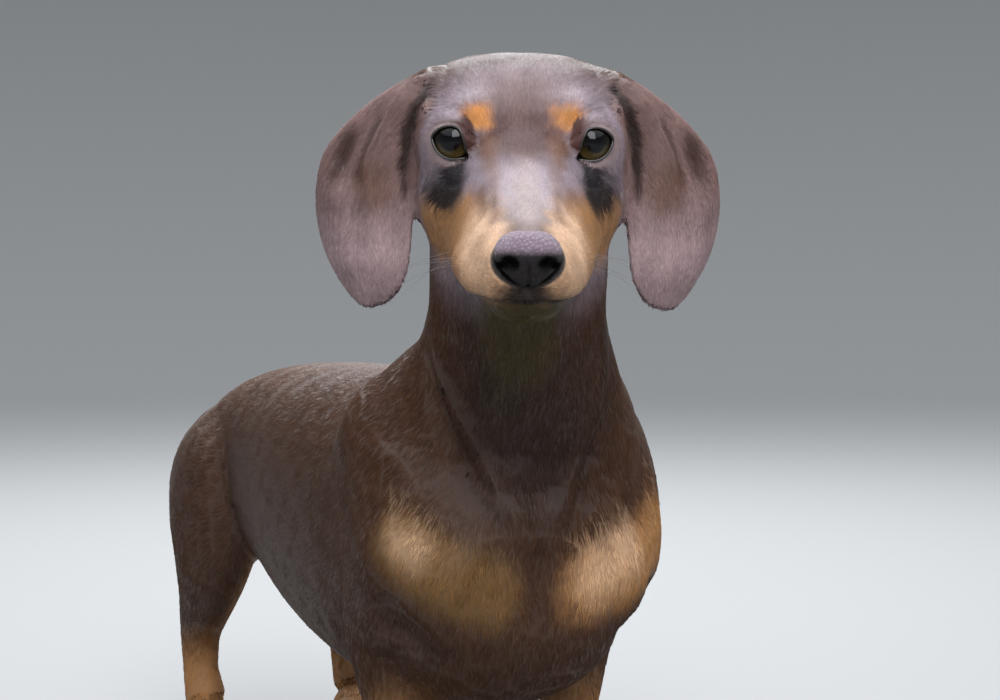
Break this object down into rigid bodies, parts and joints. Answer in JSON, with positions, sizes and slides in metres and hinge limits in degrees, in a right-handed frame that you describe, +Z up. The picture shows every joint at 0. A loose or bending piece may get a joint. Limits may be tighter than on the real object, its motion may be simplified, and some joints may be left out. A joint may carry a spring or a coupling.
{
  "type": "smooth-haired miniature dachshund model",
  "caption": "Life-size still model of a short-legged, long-bodied smooth-haired dog standing with its head raised and turned, with hanging ears.",
  "frame": {"origin": "on the floor, under the middle of the whole model", "axes": "+Z up; the body points along -Y, so +Y is towards the tail and +X is the dog's left side"},
  "size_m": [0.1341, 0.4166, 0.3021],
  "materials": {
    "brown_coat": "short, flat, glossy chocolate-brown hair with tan markings",
    "tan_coat": "short, flat tan hair",
    "nose_leather": "moist, finely pebbled liver-brown skin",
    "eye": "wet, dark amber-brown eye",
    "claw": "smooth dark-brown horn"
  },
  "bodies": {
    "root": {"head": "brown_coat", "neck": "brown_coat", "torso": "brown_coat", "tail": "brown_coat", "ear_left": "brown_coat", "ear_right": "brown_coat", "foreleg_left": "brown_coat", "foreleg_right": "brown_coat", "hindleg_left": "brown_coat", "hindleg_right": "brown_coat", "forepaw_left": "tan_coat", "forepaw_right": "tan_coat", "hindpaw_left": "tan_coat", "hindpaw_right": "tan_coat", "nose": "nose_leather", "eye_left": "eye", "eye_right": "eye"}
  },
  "joints": []
}
